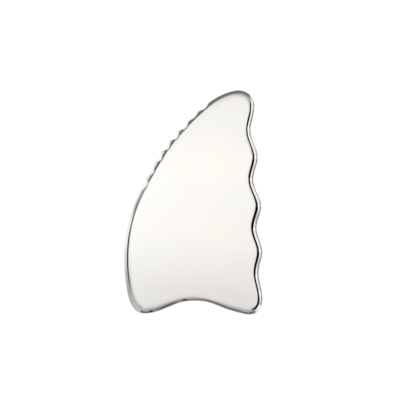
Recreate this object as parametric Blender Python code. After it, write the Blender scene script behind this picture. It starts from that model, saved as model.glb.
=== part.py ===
"""Gua sha scraper: a fin-shaped hand tool worked from one plate of polished stainless steel.

It lies flat on its back face. +Z is the thickness, +Y points to the tip, and the finger waves are
on the +X edge. The origin is the middle of the plate's bounding box, on the back face. One rim,
rounded from face to face, runs round the whole outline. The comb's notches cut only that rim.

Lengths below are in millimetres. The mesh is made in metres.
"""

import math

import bmesh
import bpy
import numpy as np

MM = 0.001

# The plate and its rounded rim
THICKNESS = 5.0
RIM_FULLNESS = 2.3      # superellipse exponent of the rim's section: 2 is an ellipse
RIM_STEPS = 10          # facets from one flat face to the other

# The outline, clockwise seen from above, as points on one smooth closed curve. Each is (x, y) and
# the width of the rim there, from the outermost edge in to the flat face.
COMB_BACK = [(-21.9, 7.0, 3.3), (-13.6, 21.8, 3.6), (-6.3, 30.6, 3.8), (3.9, 40.4, 3.4)]
TIP_BLADE = [(9.9, 44.7, 3.4), (13.4, 46.3, 3.3), (17.0, 47.4, 3.2)]
TIP = [(21.3, 47.2, 3.2), (24.6, 44.6, 3.0), (25.6, 40.8, 2.8)]
FINGER_WAVES = [                    # trough and crest by turns
    (24.0, 30.0, 2.7), (27.0, 18.9, 3.2),
    (25.1, 9.4, 2.9), (28.5, -1.8, 3.5),
    (26.5, -11.0, 3.3), (29.0, -21.0, 3.3),
    (27.4, -29.2, 2.9), (29.0, -39.7, 2.7),
]
HEEL_CORNER = [(28.5, -44.5, 3.1), (27.3, -46.5, 3.5), (25.0, -47.6, 3.4)]
FOOT = [                            # the rim narrows along the hollow in its middle
    (18.8, -46.9, 3.1), (14.0, -45.5, 2.9),
    (4.5, -42.2, 2.1), (-0.3, -41.9, 2.4), (-5.0, -42.4, 2.4),
    (-10.0, -44.2, 3.0), (-18.5, -47.1, 3.3),
]
LONG_CORNER = [(-23.1, -47.0, 3.4), (-24.9, -46.0, 3.6), (-26.3, -44.3, 3.5)]
LONG_BLADE = [(-28.6, -37.0, 3.1), (-29.7, -23.0, 3.4), (-27.9, -9.0, 3.2)]

# The comb: (distance along COMB_BACK, depth) of its notches, which grow shallower toward the tip
NOTCHES = [
    (0.9, 1.6), (7.2, 1.6), (13.6, 1.8), (19.4, 1.6),
    (25.2, 1.6), (30.9, 1.4), (36.7, 0.8), (42.7, 0.9),
]
NOTCH_FLATNESS = 0.75       # below 1 makes a notch's floor wide and its teeth narrow
NOTCH_BLEND = 8.0           # exponent that eases a notch wall into the rim above it

# Spacing of the stations that the rim is lofted through
COMB_STEP = 0.5
COMB_MARGIN = 5.0           # how far past its end notches the comb's finer spacing goes
EDGE_STEP = 1.2
CURVE_STEPS = 64            # samples on each span of the curve, for measuring along it

STEEL_COLOUR = (0.80, 0.79, 0.77, 1.0)
STEEL_ROUGHNESS = 0.08
SMOOTH_ANGLE = math.radians(40)


def clear_scene():
    for obj in list(bpy.data.objects):
        bpy.data.objects.remove(obj, do_unlink=True)


def closed_spline(points, steps):
    """Sample the closed cubic curve through points, with continuous curvature at each of them."""
    knots = np.array(points, dtype=float)
    count = len(knots)
    ahead = np.roll(knots, -1, axis=0)
    chord = np.linalg.norm((ahead - knots)[:, :2], axis=1)

    system = np.zeros((count, count))
    right_side = np.zeros(knots.shape)
    for i in range(count):
        before, after = chord[i - 1], chord[i]
        system[i, i - 1] = after
        system[i, i] = 2 * (before + after)
        system[i, (i + 1) % count] = before
        right_side[i] = 3 * (
            after * (knots[i] - knots[i - 1]) / before + before * (ahead[i] - knots[i]) / after
        )
    slopes = np.linalg.solve(system, right_side)

    t = np.linspace(0, 1, steps, endpoint=False)[:, None]
    spans = []
    for i in range(count):
        start_pull = slopes[i] * chord[i]
        end_pull = slopes[(i + 1) % count] * chord[i]
        spans.append(
            (2 * t**3 - 3 * t**2 + 1) * knots[i] + (t**3 - 2 * t**2 + t) * start_pull
            + (3 * t**2 - 2 * t**3) * ahead[i] + (t**3 - t**2) * end_pull
        )
    return np.concatenate(spans)


def measure_along(curve):
    """Distance along a closed curve to each of its samples, with the full length as the last."""
    gaps = np.linalg.norm(np.roll(curve, -1, axis=0) - curve, axis=1)
    return np.concatenate([[0.0], np.cumsum(gaps)])


def inward_normals(curve):
    """Unit normals that point into the plate, for a curve that runs clockwise."""
    tangent = np.roll(curve, -1, axis=0) - np.roll(curve, 1, axis=0)
    normal = np.stack([tangent[:, 1], -tangent[:, 0]], axis=1)
    return normal / np.linalg.norm(normal, axis=1)[:, None]


def read_at(values, distance, stations):
    """Read the values of a closed curve's samples at distances between them."""
    closed = np.vstack([values, values[:1]])
    return np.stack([np.interp(stations, distance, column) for column in closed.T], axis=1)


def notch_depths(stations, perimeter):
    """Depth of the comb's notches below the smooth outline, at each station."""
    depths = np.zeros(len(stations))
    for j, (middle, depth) in enumerate(NOTCHES):
        neighbour = NOTCHES[j + 1] if j + 1 < len(NOTCHES) else NOTCHES[j - 1]
        half_width = abs(neighbour[0] - middle) / 2
        away = np.abs((stations - middle + perimeter / 2) % perimeter - perimeter / 2)
        wave = (1 + np.cos(math.pi * np.minimum(away / half_width, 1))) / 2
        depths = np.maximum(depths, depth * wave**NOTCH_FLATNESS)
    return depths


def rim_section():
    """(share of the rim's width, height) from the back face round the edge to the front face."""
    power = 2 / RIM_FULLNESS
    section = []
    for k in range(RIM_STEPS + 1):
        angle = math.pi * (k / RIM_STEPS - 0.5)
        reach = max(math.cos(angle), 0.0) ** power
        rise = math.copysign(abs(math.sin(angle)) ** power, angle)
        section.append((1 - reach, THICKNESS / 2 * (1 + rise)))
    return section


def rim_rings():
    """Closed rings of points, one for each step of the rim's section."""
    points = (
        COMB_BACK + TIP_BLADE + TIP + FINGER_WAVES + HEEL_CORNER + FOOT + LONG_CORNER + LONG_BLADE
    )
    samples = closed_spline(points, CURVE_STEPS)
    curve, widths = samples[:, :2], samples[:, 2:]
    distance = measure_along(curve)
    perimeter = distance[-1]

    comb_start, comb_end = -COMB_MARGIN, NOTCHES[-1][0] + COMB_MARGIN
    comb_count = round((comb_end - comb_start) / COMB_STEP)
    edge_count = round((perimeter - comb_end + comb_start) / EDGE_STEP)
    stations = np.concatenate([
        np.linspace(comb_start, comb_end, comb_count, endpoint=False),
        np.linspace(comb_end, perimeter + comb_start, edge_count, endpoint=False),
    ]) % perimeter

    places = read_at(curve, distance, stations)
    places -= (places.min(axis=0) + places.max(axis=0)) / 2
    inward = read_at(inward_normals(curve), distance, stations)
    rim_width = read_at(widths, distance, stations)[:, 0]
    notch = notch_depths(stations, perimeter)

    rings = []
    for share, height in rim_section():
        inset = share * rim_width
        depth = (inset**NOTCH_BLEND + notch**NOTCH_BLEND) ** (1 / NOTCH_BLEND)
        flat = places + inward * depth[:, None]
        rings.append([(x * MM, y * MM, height * MM) for x, y in flat])
    return rings


def loft(rings):
    """Skin closed rings of equal count and close both ends with a flat face."""
    mesh = bpy.data.meshes.new("scraper_body")
    bm = bmesh.new()
    loops = [[bm.verts.new(point) for point in ring] for ring in rings]
    for low, high in zip(loops, loops[1:]):
        for a, b, c, d in zip(low, low[1:] + low[:1], high[1:] + high[:1], high):
            bm.faces.new((a, b, c, d))
    bm.faces.new(loops[0])
    bm.faces.new(loops[-1])
    bmesh.ops.recalc_face_normals(bm, faces=bm.faces)
    bm.to_mesh(mesh)
    bm.free()
    return mesh


def steel_material():
    material = bpy.data.materials.new("polished_steel")
    material.use_nodes = True
    shader = material.node_tree.nodes["Principled BSDF"]
    shader.inputs["Base Color"].default_value = STEEL_COLOUR
    shader.inputs["Metallic"].default_value = 1.0
    shader.inputs["Roughness"].default_value = STEEL_ROUGHNESS
    return material


def build_scraper():
    clear_scene()
    collection = bpy.data.collections.new("gua_sha_scraper")
    bpy.context.scene.collection.children.link(collection)

    mesh = loft(rim_rings())
    mesh.shade_smooth()
    mesh.set_sharp_from_angle(angle=SMOOTH_ANGLE)
    mesh.materials.append(steel_material())
    collection.objects.link(bpy.data.objects.new("scraper_body", mesh))


build_scraper()
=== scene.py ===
"""Gua sha scraper of mirror-polished steel, lying flat on a pale table under a light tent.

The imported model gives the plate's place and size. This script skins the same outline finely, with
softly rolled-off faces, and gives it the steel's finish. Lengths are in millimetres until the mesh
is made, and then in metres, as the studio's are.
"""

import math

import bmesh
import bpy
import numpy as np
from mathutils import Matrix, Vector, geometry, noise


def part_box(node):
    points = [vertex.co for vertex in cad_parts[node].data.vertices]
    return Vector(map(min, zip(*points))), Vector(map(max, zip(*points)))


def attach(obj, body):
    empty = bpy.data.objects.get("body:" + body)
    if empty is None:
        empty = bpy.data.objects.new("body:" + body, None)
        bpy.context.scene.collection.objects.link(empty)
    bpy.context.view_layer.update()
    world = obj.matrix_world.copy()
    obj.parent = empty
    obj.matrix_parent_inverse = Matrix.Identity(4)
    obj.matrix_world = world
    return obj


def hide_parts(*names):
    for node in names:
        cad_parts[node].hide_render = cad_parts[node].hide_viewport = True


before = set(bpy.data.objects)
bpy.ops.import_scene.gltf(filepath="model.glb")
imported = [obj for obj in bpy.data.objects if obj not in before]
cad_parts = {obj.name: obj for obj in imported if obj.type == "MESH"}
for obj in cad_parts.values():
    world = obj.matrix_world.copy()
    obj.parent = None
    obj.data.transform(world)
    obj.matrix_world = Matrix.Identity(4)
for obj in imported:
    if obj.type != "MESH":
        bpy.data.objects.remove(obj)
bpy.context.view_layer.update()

MM = 0.001
NODE = "scraper_body"

# The outline, clockwise seen from above, as points on one smooth closed curve. Each is (x, y) and
# the width of the rim there, from the outermost edge in to the flat face.
COMB_BACK = [(-21.9, 7.0, 3.3), (-13.6, 21.8, 3.6), (-6.3, 30.6, 3.8), (3.9, 40.4, 3.4)]
TIP_BLADE = [(9.9, 44.7, 3.4), (13.4, 46.3, 3.3), (17.0, 47.4, 3.2)]
TIP = [(21.3, 47.2, 3.2), (24.6, 44.6, 3.0), (25.6, 40.8, 2.8)]
FINGER_WAVES = [                    # trough and crest by turns
    (24.0, 30.0, 2.7), (27.0, 18.9, 3.2),
    (25.1, 9.4, 2.9), (28.5, -1.8, 3.5),
    (26.5, -11.0, 3.3), (29.0, -21.0, 3.3),
    (27.4, -29.2, 2.9), (29.0, -39.7, 2.7),
]
HEEL_CORNER = [(28.5, -44.5, 3.1), (27.3, -46.5, 3.5), (25.0, -47.6, 3.4)]
FOOT = [                            # the rim narrows along the hollow in its middle
    (18.8, -46.9, 3.1), (14.0, -45.5, 2.9),
    (4.5, -42.2, 2.1), (-0.3, -41.9, 2.4), (-5.0, -42.4, 2.4),
    (-10.0, -44.2, 3.0), (-18.5, -47.1, 3.3),
]
LONG_CORNER = [(-23.1, -47.0, 3.4), (-24.9, -46.0, 3.6), (-26.3, -44.3, 3.5)]
LONG_BLADE = [(-28.6, -37.0, 3.1), (-29.7, -23.0, 3.4), (-27.9, -9.0, 3.2)]

# The comb: (distance along COMB_BACK, depth) of its notches, with the shallowest by the tip
NOTCHES = [
    (0.9, 1.6), (7.2, 1.6), (13.6, 1.8), (19.4, 1.6),
    (25.2, 1.6), (30.9, 1.4), (36.7, 0.8), (42.7, 0.9),
]
NOTCH_FLATNESS = 0.75       # below 1 makes a notch's floor wide and its teeth narrow
NOTCH_BLEND = 8.0           # exponent that eases a notch wall into the rim above it

# The rim's section, and how finely it is skinned
RIM_FULLNESS = 2.3          # superellipse exponent of the section: 2 is an ellipse
RIM_STEPS = 32
STATION_STEP = 0.3
CURVE_STEPS = 96

# The faces: a slight crown left by the polishing wheel, and its faint waviness
FACE_CROWN = 0.05
CROWN_REACH = 9.0           # how far in from the border the crown has its full height
WAVINESS = 0.002
WAVE_LENGTH = 14.0
FACE_GRID = 1.2
GRID_CLEARANCE = 0.6        # how near the grid comes to the border, as a share of its step
MERGE_GAP = 1e-6            # points nearer than this count as one
CROWN_SMOOTHING = 12        # rounds of smoothing, and how far each pulls a vertex
SMOOTHING_PULL = 0.5

# The steel: mirror polish, with marks that show only close to
STEEL_WARM = (0.815, 0.800, 0.775, 1.0)
STEEL_COOL = (0.800, 0.800, 0.787, 1.0)
MIRROR_ROUGHNESS = 0.02
WHEEL_ROUGHNESS = 0.02              # what each kind of mark adds
SMEAR_ROUGHNESS = 0.035
SCRATCH_ROUGHNESS = 0.10
RIM_ROUGHNESS = 0.015
DING_ROUGHNESS = 0.06
MARK_DEPTH = 0.0006                 # of a scratch
WHEEL_DEPTH = 0.35                  # the others' depths, as shares of a scratch's
DING_DEPTH = 3.0
SCRATCH_EDGE = 0.022                # how far from its middle value the noise makes a scratch
SCRATCH_PATCH = (0.48, 0.62)        # the noise values between which each kind of mark comes in
SMEAR_EDGE = (0.42, 0.68)
DING_EDGE = (0.68, 0.80)
TINT_EDGE = (0.35, 0.65)
# Each pattern's angle, cycles per millimetre along and across it, and layers of finer noise
WHEEL_LINES = (4.0, (0.05, 7.0, 7.0), 3.0)
SMEARS = (35.0, (0.05, 0.09, 0.09), 4.0)
SMEAR_GRAIN = 0.6                   # how strong the smears' finer layers are
DINGS = (0.0, (1.1, 1.1, 1.1), 1.0)
TINT_DRIFT = (8.0, (0.025, 0.06, 0.06), 2.0)
SCRATCH_CYCLES = 0.03               # per millimetre along a scratch
PATCH_CYCLES = (0.10, 0.25, 0.25)
HAIR_SCRATCHES = [                  # angle, spacing, and shift of the patches they lie in
    (12.0, 1.6, (0.0, 0.0, 0.0)),
    (-38.0, 2.3, (40.0, 10.0, 0.0)),
    (71.0, 2.9, (-25.0, 60.0, 0.0)),
]

# The tent's walls, by bearing in degrees anticlockwise from the tip (+Y, so the comb is at about 50,
# the long blade at 90, the foot at 180 and the finger waves at 270). Each has its brightness by angle
# from overhead, and changes evenly into the next one.
TENT_WALLS = [
    # behind the tip: a wall that falls away into shade
    (0, [(8, 0.76), (18, 0.69), (24, 0.62), (30, 0.54), (37, 0.42), (44, 0.29),
         (52, 0.21), (62, 0.17), (75, 0.15), (109, 0.15), (130, 0.25)]),
    (18, [(8, 0.83), (25, 0.78), (31, 0.72), (37, 0.62), (44, 0.47), (52, 0.32),
          (61, 0.22), (72, 0.17), (84, 0.15), (109, 0.15), (130, 0.25)]),
    (34, [(8, 0.91), (25, 0.91), (31, 0.86), (37, 0.73), (43, 0.56), (50, 0.36),
          (58, 0.22), (67, 0.15), (78, 0.11), (92, 0.12), (110, 0.18), (130, 0.30)]),
    # along the comb: a black gap that rises and sinks again, over a wall that brightens and dims
    (42, [(8, 0.92), (28, 0.90), (34, 0.86), (41, 0.60), (48, 0.28), (55, 0.09),
          (64, 0.06), (72, 0.14), (82, 0.23), (104, 0.33), (125, 0.42)]),
    (46, [(8, 0.93), (26, 0.93), (31, 0.84), (37, 0.55), (43, 0.27), (50, 0.08),
          (58, 0.08), (66, 0.20), (76, 0.33), (90, 0.42), (120, 0.52)]),
    (50, [(8, 0.95), (22, 0.95), (28, 0.76), (34, 0.38), (40, 0.10), (48, 0.04),
          (56, 0.14), (65, 0.31), (76, 0.46), (90, 0.56), (120, 0.66)]),
    (55, [(8, 0.97), (18, 0.97), (23, 0.78), (29, 0.26), (34, 0.05), (42, 0.05),
          (50, 0.26), (60, 0.48), (72, 0.72), (88, 0.84), (120, 0.86)]),
    (61, [(8, 0.99), (19, 0.96), (24, 0.76), (30, 0.22), (34, 0.04), (42, 0.05),
          (50, 0.34), (60, 0.58), (72, 0.74), (88, 0.84), (120, 0.88)]),
    (63, [(8, 0.99), (20, 0.97), (25, 0.74), (30, 0.24), (34, 0.04), (42, 0.05),
          (48, 0.26), (56, 0.46), (66, 0.58), (80, 0.66), (94, 0.74), (120, 0.84)]),
    (65, [(8, 0.99), (25, 0.97), (31, 0.75), (37, 0.38), (43, 0.15), (50, 0.15),
          (57, 0.36), (68, 0.54), (80, 0.64), (94, 0.71), (120, 0.80)]),
    (71, [(8, 1.00), (32, 0.97), (37, 0.84), (43, 0.42), (50, 0.11), (57, 0.05),
          (67, 0.15), (78, 0.36), (93, 0.50), (120, 0.65)]),
    # beside the long blade: a soft box under a black gap
    (77, [(8, 1.00), (29, 1.00), (34, 0.82), (40, 0.34), (45, 0.07), (53, 0.06),
          (59, 0.40), (66, 0.80), (74, 0.92), (92, 0.92), (140, 0.80)]),
    (88, [(8, 0.98), (25, 0.96), (31, 0.78), (37, 0.40), (42, 0.09), (47, 0.02),
          (54, 0.02), (59, 0.22), (66, 0.66), (72, 0.84), (90, 0.85), (140, 0.78)]),
    (99, [(8, 0.92), (22, 0.88), (28, 0.82), (32, 0.56), (37, 0.14), (40, 0.04), (47, 0.03),
          (53, 0.14), (60, 0.36), (67, 0.48), (92, 0.52), (120, 0.54)]),
    # round the long corner: a fairly even grey wall
    (104, [(8, 0.90), (16, 0.84), (22, 0.66), (28, 0.42), (35, 0.22), (43, 0.19),
           (50, 0.27), (60, 0.36), (72, 0.39), (120, 0.42)]),
    (110, [(8, 0.82), (12, 0.76), (17, 0.64), (24, 0.50), (34, 0.42), (56, 0.44),
           (90, 0.38), (120, 0.44)]),
    (126, [(8, 0.68), (13, 0.60), (18, 0.51), (23, 0.44), (28, 0.42), (35, 0.47),
           (44, 0.52), (56, 0.54), (73, 0.49), (110, 0.48)]),
    (160, [(8, 0.55), (13, 0.47), (18, 0.40), (24, 0.35), (30, 0.41), (37, 0.49),
           (48, 0.46), (72, 0.49), (110, 0.49)]),
    # before the foot: grey above, dark near the table
    (162.5, [(8, 0.72), (20, 0.69), (26, 0.62), (32, 0.51), (38, 0.43), (44, 0.42), (48, 0.37),
             (54, 0.28), (60, 0.20), (68, 0.14), (80, 0.11), (92, 0.13), (110, 0.22), (140, 0.35)]),
    (169, [(8, 0.72), (19, 0.70), (25, 0.62), (30, 0.51), (36, 0.44), (44, 0.43), (49, 0.39),
           (56, 0.32), (62, 0.22), (70, 0.15), (80, 0.11), (92, 0.13), (110, 0.22), (140, 0.35)]),
    (172, [(8, 0.72), (16, 0.67), (22, 0.60), (28, 0.50), (34, 0.44), (42, 0.42), (54, 0.43),
           (62, 0.38), (70, 0.26), (78, 0.15), (92, 0.12), (110, 0.20), (140, 0.35)]),
    (184.5, [(8, 0.72), (16, 0.67), (22, 0.59), (28, 0.49), (34, 0.43), (42, 0.41), (54, 0.42),
             (64, 0.36), (72, 0.26), (80, 0.16), (92, 0.12), (110, 0.20), (140, 0.35)]),
    # a narrow dark post, then a grey panel, and dark again
    (186, [(8, 0.72), (18, 0.66), (24, 0.56), (30, 0.48), (38, 0.43), (50, 0.34),
           (56, 0.20), (61, 0.07), (66, 0.05), (92, 0.05), (110, 0.08), (140, 0.30)]),
    (189, [(8, 0.72), (20, 0.66), (26, 0.58), (32, 0.49), (38, 0.42), (50, 0.34),
           (56, 0.20), (61, 0.07), (66, 0.05), (92, 0.05), (110, 0.10), (140, 0.30)]),
    (190.5, [(8, 0.71), (20, 0.63), (26, 0.53), (32, 0.45), (38, 0.40), (46, 0.39), (55, 0.34),
             (66, 0.30), (85, 0.26), (110, 0.32), (140, 0.35)]),
    (196.5, [(8, 0.71), (20, 0.64), (26, 0.54), (32, 0.45), (38, 0.40), (45, 0.36), (50, 0.28),
             (58, 0.14), (68, 0.09), (86, 0.10), (105, 0.20), (140, 0.35)]),
    # round the heel: the black gap of the right-hand box begins, close to overhead
    (199.5, [(8, 0.72), (16, 0.61), (20, 0.20), (23, 0.02), (30, 0.02), (35, 0.26), (42, 0.36),
             (50, 0.24), (58, 0.12), (68, 0.06), (82, 0.07), (100, 0.15), (120, 0.28)]),
    (204, [(8, 0.76), (16, 0.62), (20, 0.20), (23, 0.00), (31, 0.00), (37, 0.22), (45, 0.30),
           (60, 0.20), (74, 0.26), (88, 0.36), (110, 0.45)]),
    (208, [(8, 0.78), (16, 0.64), (20, 0.12), (22, 0.00), (33, 0.00), (39, 0.22), (46, 0.34),
           (60, 0.36), (74, 0.42), (88, 0.50), (110, 0.52)]),
    (213, [(8, 0.82), (16, 0.68), (20, 0.06), (22, 0.00), (36, 0.00), (42, 0.22), (48, 0.46),
           (56, 0.66), (66, 0.78), (80, 0.82), (92, 0.74), (120, 0.66)]),
    # right: a large soft box under a wide black gap
    (220, [(8, 0.88), (15, 0.76), (20, 0.06), (22, 0.00), (37, 0.00), (43, 0.24), (50, 0.60),
           (58, 0.74), (68, 0.76), (82, 0.72), (92, 0.80), (120, 0.72)]),
    (229, [(8, 0.88), (15, 0.78), (20, 0.06), (22, 0.00), (37, 0.00), (43, 0.24), (50, 0.64),
           (58, 0.84), (68, 0.82), (82, 0.78), (92, 0.86), (120, 0.74)]),
    (236, [(8, 0.87), (15, 0.77), (20, 0.08), (22, 0.00), (42, 0.00), (47, 0.26), (54, 0.78),
           (62, 0.94), (90, 0.94), (130, 0.78)]),
    (246, [(8, 0.86), (15, 0.76), (20, 0.08), (22, 0.00), (46, 0.00), (51, 0.36), (57, 0.88),
           (64, 1.00), (90, 0.94), (130, 0.78)]),
    # a seam between two of the box's panels
    (251, [(8, 0.86), (15, 0.74), (19, 0.35), (22, 0.00), (46, 0.00), (51, 0.32), (57, 0.60),
           (66, 0.56), (76, 0.40), (92, 0.30), (130, 0.36)]),
    (254, [(8, 0.86), (15, 0.74), (19, 0.35), (22, 0.00), (46, 0.00), (51, 0.34), (57, 0.66),
           (67, 0.68), (76, 0.54), (92, 0.36), (130, 0.30)]),
    # the second panel, which dims toward the table
    (260, [(8, 0.86), (15, 0.74), (19, 0.35), (22, 0.00), (50, 0.00), (55, 0.50), (60, 0.94),
           (68, 1.00), (80, 0.84), (92, 0.52), (105, 0.30), (140, 0.24)]),
    (266, [(8, 0.86), (14, 0.78), (19, 0.35), (22, 0.00), (49, 0.00), (54, 0.50), (59, 0.98),
           (68, 1.05), (80, 0.88), (92, 0.48), (105, 0.24), (140, 0.18)]),
    (269, [(8, 0.86), (14, 0.78), (19, 0.35), (22, 0.00), (44, 0.00), (49, 0.50), (54, 1.00),
           (68, 1.05), (80, 0.92), (92, 0.60), (105, 0.34), (140, 0.20)]),
    (273, [(8, 0.86), (16, 0.80), (22, 0.50), (26, 0.00), (43, 0.00), (48, 0.50), (53, 0.98),
           (62, 1.05), (80, 0.98), (92, 0.74), (105, 0.48), (140, 0.42)]),
    (276, [(8, 0.86), (16, 0.80), (21, 0.50), (25, 0.00), (46, 0.00), (51, 0.50), (56, 0.98),
           (62, 1.05), (80, 0.90), (92, 0.48), (105, 0.28), (140, 0.28)]),
    (286, [(8, 0.86), (16, 0.80), (22, 0.55), (27, 0.06), (29, 0.00), (45, 0.00), (50, 0.40),
           (58, 0.96), (68, 1.05), (82, 0.92), (94, 0.58), (110, 0.36), (140, 0.36)]),
    (291, [(8, 0.86), (17, 0.80), (24, 0.62), (29, 0.14), (32, 0.01), (46, 0.00), (51, 0.36),
           (58, 0.94), (68, 1.05), (86, 0.92), (98, 0.60), (120, 0.42)]),
    # its far end, and the shaded wall behind the tip again
    (304, [(8, 0.72), (16, 0.62), (29, 0.55), (36, 0.48), (43, 0.36), (52, 0.22), (62, 0.22),
           (74, 0.46), (88, 0.74), (120, 0.76)]),
    (318, [(8, 0.71), (15, 0.65), (21, 0.59), (26, 0.54), (33, 0.48), (40, 0.41), (47, 0.34),
           (56, 0.27), (66, 0.21), (77, 0.18), (109, 0.18), (130, 0.25)]),
]
# The diffuser straight above: brightness by the Y part of the direction, dimmest toward the foot
DIFFUSER = [
    (-0.12, 0.72), (-0.095, 0.76), (-0.07, 0.82), (-0.05, 0.88), (-0.033, 0.925),
    (0.03, 0.965), (0.06, 0.94), (0.09, 0.90), (0.12, 0.83)]
DIFFUSER_SPAN = 0.4                 # the whole spread of Y that the brightness is given over
DIFFUSER_SIDE_FALL = 0.5            # how fast it dims toward +X
DIFFUSER_EDGE = (7.0, 12.0)         # angles from overhead between which it gives way to the walls
DIFFUSER_TINT = (1.02, 1.0, 0.98, 1.0)
TENT_STRENGTH = 1.25

# The table and the lamp that lights it
TABLE_SIZE = 8.0
TABLE_GAP = 0.0001                  # to the plate that lies on it
TABLE_COLOUR = (0.9, 0.9, 0.9, 1.0)
TABLE_ROUGHNESS = 0.9
LAMP_HEIGHT = 1.0
LAMP_ENERGY = 3.4
LAMP_SPREAD = math.radians(100)

# The camera: a 100 mm lens straight above, framing this width at the plate's middle height
LENS_MM = 100.0
SENSOR_MM = 36.0
FRAME_WIDTH = 170.2
CAMERA_ASIDE = (2.83, 1.03)         # how far it stands from the plate's middle, in X and Y


# ---------------------------------------------------------------- shape

def closed_spline(points, steps):
    """Sample the closed cubic curve through points, with continuous curvature at each of them."""
    knots = np.array(points, dtype=float)
    count = len(knots)
    ahead = np.roll(knots, -1, axis=0)
    chord = np.linalg.norm((ahead - knots)[:, :2], axis=1)

    system = np.zeros((count, count))
    right_side = np.zeros(knots.shape)
    for i in range(count):
        before, after = chord[i - 1], chord[i]
        system[i, i - 1] = after
        system[i, i] = 2 * (before + after)
        system[i, (i + 1) % count] = before
        right_side[i] = 3 * (
            after * (knots[i] - knots[i - 1]) / before + before * (ahead[i] - knots[i]) / after
        )
    slopes = np.linalg.solve(system, right_side)

    t = np.linspace(0, 1, steps, endpoint=False)[:, None]
    spans = []
    for i in range(count):
        start_pull = slopes[i] * chord[i]
        end_pull = slopes[(i + 1) % count] * chord[i]
        spans.append(
            (2 * t**3 - 3 * t**2 + 1) * knots[i] + (t**3 - 2 * t**2 + t) * start_pull
            + (3 * t**2 - 2 * t**3) * ahead[i] + (t**3 - t**2) * end_pull
        )
    return np.concatenate(spans)


def measure_along(curve):
    """Distance along a closed curve to each of its samples, with the full length as the last."""
    gaps = np.linalg.norm(np.roll(curve, -1, axis=0) - curve, axis=1)
    return np.concatenate([[0.0], np.cumsum(gaps)])


def inward_normals(curve):
    """Unit normals that point into the plate, for a curve that runs clockwise."""
    tangent = np.roll(curve, -1, axis=0) - np.roll(curve, 1, axis=0)
    normal = np.stack([tangent[:, 1], -tangent[:, 0]], axis=1)
    return normal / np.linalg.norm(normal, axis=1)[:, None]


def read_at(values, distance, stations):
    """Read the values of a closed curve's samples at distances between them."""
    closed = np.vstack([values, values[:1]])
    return np.stack([np.interp(stations, distance, column) for column in closed.T], axis=1)


def notch_depths(stations, perimeter):
    """Depth of the comb's notches below the smooth outline, at each station."""
    depths = np.zeros(len(stations))
    for j, (middle, depth) in enumerate(NOTCHES):
        neighbour = NOTCHES[j + 1] if j + 1 < len(NOTCHES) else NOTCHES[j - 1]
        half_width = abs(neighbour[0] - middle) / 2
        away = np.abs((stations - middle + perimeter / 2) % perimeter - perimeter / 2)
        wave = (1 + np.cos(math.pi * np.minimum(away / half_width, 1))) / 2
        depths = np.maximum(depths, depth * wave**NOTCH_FLATNESS)
    return depths


def fit_to_box(places, low, high):
    """Move and scale the outline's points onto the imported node's box."""
    start, end = places.min(axis=0), places.max(axis=0)
    box_start = np.array(low[:2]) / MM
    box_end = np.array(high[:2]) / MM
    scale = (box_end - box_start) / (end - start)
    return box_start + (places - start) * scale


def rim_section(thickness):
    """(share of the rim's width, height) from the back face round the edge to the front face."""
    power = 2 / RIM_FULLNESS
    half = thickness / 2 - FACE_CROWN
    section = []
    for k in range(RIM_STEPS + 1):
        angle = math.pi * (k / RIM_STEPS - 0.5)
        reach = max(math.cos(angle), 0.0) ** power
        rise = math.copysign(abs(math.sin(angle)) ** power, angle)
        section.append((1 - reach, thickness / 2 + half * rise))
    return section


def rim_rings(low, high):
    """Rings of (x, y, z) points round the rim, from the back face's border to the front's."""
    points = (
        COMB_BACK + TIP_BLADE + TIP + FINGER_WAVES + HEEL_CORNER + FOOT + LONG_CORNER + LONG_BLADE
    )
    samples = closed_spline(points, CURVE_STEPS)
    curve, widths = samples[:, :2], samples[:, 2:]
    distance = measure_along(curve)
    perimeter = distance[-1]

    stations = np.linspace(0, perimeter, round(perimeter / STATION_STEP), endpoint=False)
    places = fit_to_box(read_at(curve, distance, stations), low, high)
    inward = read_at(inward_normals(curve), distance, stations)
    rim_width = read_at(widths, distance, stations)[:, 0]
    notch = notch_depths(stations, perimeter)

    rings = []
    for share, height in rim_section((high[2] - low[2]) / MM):
        inset = share * rim_width
        depth = (inset**NOTCH_BLEND + notch**NOTCH_BLEND) ** (1 / NOTCH_BLEND)
        flat = places + inward * depth[:, None]
        rings.append(np.column_stack([flat, np.full(len(flat), low[2] / MM + height)]))
    return rings


def face_points(border):
    """Points of an even grid that lie inside a border, clear of it by most of a step."""
    low, high = border.min(axis=0), border.max(axis=0)
    xs = np.arange(low[0], high[0], FACE_GRID)
    ys = np.arange(low[1], high[1], FACE_GRID)
    grid = np.array([(x, y) for x in xs for y in ys])

    inside = np.zeros(len(grid), dtype=bool)
    for (x0, y0), (x1, y1) in zip(border, np.roll(border, -1, axis=0)):
        if y0 == y1:
            continue
        spans = (grid[:, 1] < y0) != (grid[:, 1] < y1)
        crossing = x0 + (grid[:, 1] - y0) * (x1 - x0) / (y1 - y0)
        inside ^= spans & (grid[:, 0] < crossing)
    grid = grid[inside]
    return grid[border_distance(grid, border) > GRID_CLEARANCE * FACE_GRID]


def border_distance(points, border):
    """Distance from each point to the nearest one of the border."""
    return np.min(np.linalg.norm(points[:, None] - border[None], axis=2), axis=1)


def crown_height(points, border):
    """How far the face stands above its border. The ripple only ever lowers it."""
    share = np.clip(border_distance(points, border) / CROWN_REACH, 0, 1)
    rise = share**2 * (3 - 2 * share)
    ripple = np.array([noise.noise(Vector((x, y, 0)) / WAVE_LENGTH) for x, y in points])
    return FACE_CROWN * rise + WAVINESS * rise * (ripple - 1)


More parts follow.
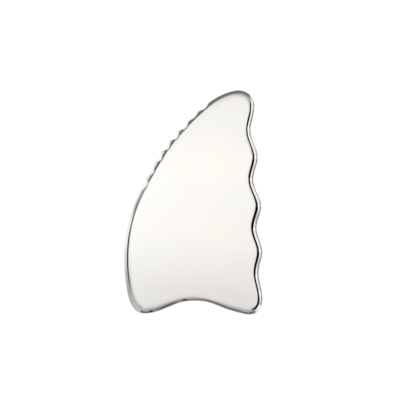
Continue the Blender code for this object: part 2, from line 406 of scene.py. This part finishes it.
def skin_face(bm, loop, border, outward):
    """Close one end of the rim with a fine, slightly crowned face."""
    inner = face_points(border)
    flat = [Vector(p) for p in border] + [Vector(p) for p in inner]
    ring = list(range(len(border)))
    made = geometry.delaunay_2d_cdt(flat, [], [ring], 1, MERGE_GAP)
    heights = crown_height(inner, border) * MM * outward
    verts = list(loop)
    for (x, y), rise in zip(inner, heights):
        verts.append(bm.verts.new((x * MM, y * MM, loop[0].co.z + rise)))
    triangles, sources = made[2], made[3]
    for triangle in triangles:
        corners = [verts[sources[i][0]] for i in triangle]
        bm.faces.new(corners if outward > 0 else corners[::-1])
    for _ in range(CROWN_SMOOTHING):
        bmesh.ops.smooth_vert(
            bm, verts=verts[len(loop):], factor=SMOOTHING_PULL, use_axis_z=True
        )


def build_plate():
    """The plate's fine mesh, with "rim" on its points: 0 on the faces, 1 on the outermost edge."""
    low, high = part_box(NODE)
    rings = rim_rings(low, high)
    bm = bmesh.new()
    rim_layer = bm.verts.layers.float.new("rim")
    loops = [[bm.verts.new(p * MM) for p in ring] for ring in rings]
    for k, loop in enumerate(loops):
        for vert in loop:
            vert[rim_layer] = math.sin(math.pi * k / RIM_STEPS)
    for below, above in zip(loops, loops[1:]):
        for a, b, c, d in zip(below, below[1:] + below[:1], above[1:] + above[:1], above):
            bm.faces.new((a, b, c, d))
    skin_face(bm, loops[-1], rings[-1][:, :2], 1)
    skin_face(bm, loops[0], rings[0][:, :2], -1)
    bmesh.ops.recalc_face_normals(bm, faces=bm.faces)

    mesh = bpy.data.meshes.new("steel_plate")
    bm.to_mesh(mesh)
    bm.free()
    mesh.shade_smooth()
    plate = bpy.data.objects.new("steel_plate", mesh)
    bpy.context.scene.collection.objects.link(plate)
    return plate


# ---------------------------------------------------------------- node helpers

class Nodes:
    """Adds and links shader nodes with short calls. An input is named, or is i0, i1... by place."""

    def __init__(self, tree):
        self.tree = tree
        tree.nodes.clear()

    def add(self, kind, settings=None, **inputs):
        node = self.tree.nodes.new(kind)
        for name, value in (settings or {}).items():
            setattr(node, name, value)
        for name, value in inputs.items():
            key = int(name[1:]) if name[0] == "i" and name[1:].isdigit() else name.replace("_", " ")
            self.put(node.inputs[key], value)
        return node

    def put(self, socket, value):
        if isinstance(value, bpy.types.NodeSocket):
            self.tree.links.new(value, socket)
        else:
            socket.default_value = value

    def math(self, operation, *values):
        node = self.add("ShaderNodeMath", {"operation": operation})
        for socket, value in zip(node.inputs, values):
            self.put(socket, value)
        return node.outputs[0]

    def ramp(self, factor, stops):
        node = self.add("ShaderNodeValToRGB", Fac=factor)
        band = node.color_ramp
        while len(band.elements) < len(stops):
            band.elements.new(1.0)
        for element, (place, level) in zip(band.elements, stops):
            element.position = place
            element.color = (level, level, level, 1.0)
        return node.outputs["Color"]

    def mix(self, factor, first, second):
        """Mix two colours, whose sockets come after the node's float and vector ones."""
        node = self.add("ShaderNodeMix", {"data_type": "RGBA"}, i0=factor, i6=first, i7=second)
        return node.outputs[2]


# ---------------------------------------------------------------- steel

def turned(n, spot, angle, stretch):
    """The place in millimetres, turned about Z and scaled, to draw texture out along one line."""
    turn = n.add("ShaderNodeVectorRotate", {"rotation_type": "Z_AXIS"}, Vector=spot)
    turn.inputs["Angle"].default_value = math.radians(angle)
    scale = n.add("ShaderNodeVectorMath", {"operation": "MULTIPLY"}, i0=turn.outputs[0], i1=stretch)
    return scale.outputs[0]


def drawn_out_noise(n, spot, angle, stretch, detail, grain=0.5):
    """Noise from 0 to 1, drawn out along a line at an angle."""
    node = n.add(
        "ShaderNodeTexNoise", Vector=turned(n, spot, angle, stretch), Scale=1.0,
        Detail=detail, Roughness=grain,
    )
    return node.outputs["Fac"]


def step(n, value, start, end, shape="SMOOTHSTEP"):
    """0 up to the start, 1 from the end, and a slope between them."""
    edge = n.add("ShaderNodeMapRange", {"interpolation_type": shape}, Value=value)
    edge.inputs["From Min"].default_value = start
    edge.inputs["From Max"].default_value = end
    return edge.outputs["Result"]


def hair_scratches(n, spot, angle, spacing, patch_shift):
    """Long thin scratches that run at one angle, in patches: 1 in a scratch, else 0."""
    stretch = (SCRATCH_CYCLES, 1 / spacing, 1 / spacing)
    lines = drawn_out_noise(n, spot, angle, stretch, 0.0)
    away = n.math("ABSOLUTE", n.math("SUBTRACT", lines, 0.5))
    thin = step(n, away, SCRATCH_EDGE, 0.0)
    moved = n.add("ShaderNodeVectorMath", {"operation": "ADD"}, i0=spot, i1=patch_shift)
    patch = drawn_out_noise(n, moved.outputs[0], angle, PATCH_CYCLES, 2.0)
    return n.math("MULTIPLY", thin, step(n, patch, *SCRATCH_PATCH))


def steel_marks(n, spot, rim):
    """The wheel lines, smears, dings on the rim and hair scratches, each from 0 to 1."""
    wheel_lines = drawn_out_noise(n, spot, *WHEEL_LINES)
    smears = step(n, drawn_out_noise(n, spot, *SMEARS, SMEAR_GRAIN), *SMEAR_EDGE)
    specks = step(n, drawn_out_noise(n, spot, *DINGS), *DING_EDGE)
    dings = n.math("MULTIPLY", specks, rim)
    scratches = 0.0
    for angle, spacing, patch_shift in HAIR_SCRATCHES:
        marks = hair_scratches(n, spot, angle, spacing, patch_shift)
        scratches = n.math("MAXIMUM", scratches, marks)
    return wheel_lines, smears, dings, scratches


def steel_material():
    """Mirror polish with wheel lines, hair scratches, smears from hands and a worn rim."""
    material = bpy.data.materials.new("mirror_polished_steel")
    material.use_nodes = True
    n = Nodes(material.node_tree)
    place = n.add("ShaderNodeTexCoord").outputs["Object"]
    scaled = n.add("ShaderNodeVectorMath", {"operation": "SCALE"}, i0=place)
    scaled.inputs["Scale"].default_value = 1 / MM
    spot = scaled.outputs[0]
    rim = n.add("ShaderNodeAttribute", {"attribute_name": "rim"}).outputs["Fac"]
    wheel_lines, smears, dings, scratches = steel_marks(n, spot, rim)

    rough = n.math("MULTIPLY_ADD", smears, SMEAR_ROUGHNESS, MIRROR_ROUGHNESS)
    rough = n.math("MULTIPLY_ADD", wheel_lines, WHEEL_ROUGHNESS, rough)
    rough = n.math("MULTIPLY_ADD", scratches, SCRATCH_ROUGHNESS, rough)
    rough = n.math("MULTIPLY_ADD", rim, RIM_ROUGHNESS, rough)
    rough = n.math("MULTIPLY_ADD", dings, DING_ROUGHNESS, rough)

    height = n.math("MULTIPLY", wheel_lines, WHEEL_DEPTH)
    height = n.math("SUBTRACT", height, scratches)
    height = n.math("MULTIPLY_ADD", dings, -DING_DEPTH, height)
    bump = n.add("ShaderNodeBump", Height=height)
    bump.inputs["Strength"].default_value = 1.0
    bump.inputs["Distance"].default_value = MARK_DEPTH * MM

    warmth = step(n, drawn_out_noise(n, spot, *TINT_DRIFT), *TINT_EDGE)
    tint = n.mix(warmth, STEEL_COOL, STEEL_WARM)

    shader = n.add("ShaderNodeBsdfPrincipled", Metallic=1.0, Roughness=rough, Normal=bump.outputs[0])
    n.put(shader.inputs["Base Color"], tint)
    output = n.add("ShaderNodeOutputMaterial")
    n.put(output.inputs["Surface"], shader.outputs[0])
    return material


# ---------------------------------------------------------------- studio

def tent_walls(n, bearing, from_top):
    """Brightness of the walls, read from TENT_WALLS with both angles in degrees."""
    slant = n.math("DIVIDE", from_top, 180.0)
    light = None
    last_bearing = 0
    for wall_bearing, stops in TENT_WALLS + [(360, TENT_WALLS[0][1])]:
        wall = n.ramp(slant, [(angle / 180, level) for angle, level in stops])
        if light is None:
            light = wall
        else:
            share = step(n, bearing, last_bearing, wall_bearing, "LINEAR")
            light = n.mix(share, light, wall)
        last_bearing = wall_bearing
    return light


def overhead_diffuser(n, x, y):
    """Brightness and faint warm tint of the diffuser, by the direction's level parts."""
    along_y = n.math("MULTIPLY_ADD", y, 1 / DIFFUSER_SPAN, 0.5)
    bands = n.ramp(along_y, [(y_part / DIFFUSER_SPAN + 0.5, level) for y_part, level in DIFFUSER])
    across = n.math("MULTIPLY_ADD", x, -DIFFUSER_SIDE_FALL, 1.0)
    return n.mix(n.math("MULTIPLY", bands, across), (0.0, 0.0, 0.0, 1.0), DIFFUSER_TINT)


def light_tent():
    """A tent of plain white, grey and black walls with a diffuser overhead, for the steel to mirror."""
    world = bpy.data.worlds.new("light_tent")
    bpy.context.scene.world = world
    world.use_nodes = True
    n = Nodes(world.node_tree)
    direction = n.add("ShaderNodeTexCoord").outputs["Generated"]
    x, y, z = n.add("ShaderNodeSeparateXYZ", Vector=direction).outputs
    from_top = n.math("MULTIPLY", n.math("ARCCOSINE", z), 180 / math.pi)
    turn = n.math("MULTIPLY", n.math("ARCTAN2", n.math("MULTIPLY", x, -1.0), y), 180 / math.pi)
    bearing = n.math("WRAP", turn, 360.0, 0.0)

    walls = tent_walls(n, bearing, from_top)
    overhead = overhead_diffuser(n, x, y)
    light = n.mix(step(n, from_top, *DIFFUSER_EDGE), overhead, walls)
    mirrored = n.add("ShaderNodeBackground", Color=light, Strength=TENT_STRENGTH)
    backdrop = n.add("ShaderNodeBackground", Color=(1.0, 1.0, 1.0, 1.0), Strength=1.0)
    seen = n.add("ShaderNodeLightPath").outputs["Is Camera Ray"]
    blend = n.add("ShaderNodeMixShader", i0=seen, i1=mirrored.outputs[0], i2=backdrop.outputs[0])
    output = n.add("ShaderNodeOutputWorld")
    n.put(output.inputs["Surface"], blend.outputs[0])


def build_table():
    """A plain pale table, which the steel doesn't mirror."""
    bm = bmesh.new()
    bmesh.ops.create_grid(bm, x_segments=1, y_segments=1, size=TABLE_SIZE / 2)
    mesh = bpy.data.meshes.new("table")
    bm.to_mesh(mesh)
    bm.free()
    table = bpy.data.objects.new("table", mesh)
    table.location.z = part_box(NODE)[0].z - TABLE_GAP
    bpy.context.scene.collection.objects.link(table)
    material = bpy.data.materials.new("white_table")
    material.use_nodes = True
    shader = material.node_tree.nodes["Principled BSDF"]
    shader.inputs["Base Color"].default_value = TABLE_COLOUR
    shader.inputs["Roughness"].default_value = TABLE_ROUGHNESS
    mesh.materials.append(material)
    table.visible_glossy = False


def add_lamp():
    """A broad lamp straight above, which lights the table but isn't mirrored."""
    lamp = bpy.data.lights.new("overhead", "SUN")
    lamp.energy = LAMP_ENERGY
    lamp.angle = LAMP_SPREAD
    lamp_object = bpy.data.objects.new("overhead", lamp)
    lamp_object.location = (0, 0, LAMP_HEIGHT)
    lamp_object.visible_glossy = False
    bpy.context.scene.collection.objects.link(lamp_object)


def add_camera():
    """A camera that looks straight down, far enough up to frame FRAME_WIDTH."""
    low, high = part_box(NODE)
    data = bpy.data.cameras.new("camera")
    data.lens = LENS_MM
    data.sensor_width = SENSOR_MM
    camera = bpy.data.objects.new("camera", data)
    centre = (low + high) / 2
    distance = LENS_MM * FRAME_WIDTH / SENSOR_MM
    camera.location = centre + Vector((*CAMERA_ASIDE, distance)) * MM
    bpy.context.scene.collection.objects.link(camera)
    bpy.context.scene.camera = camera


plate = build_plate()
plate.data.materials.append(steel_material())
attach(plate, "root")
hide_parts(NODE)
bpy.context.scene.view_settings.view_transform = "Standard"
light_tent()
build_table()
add_lamp()
add_camera()
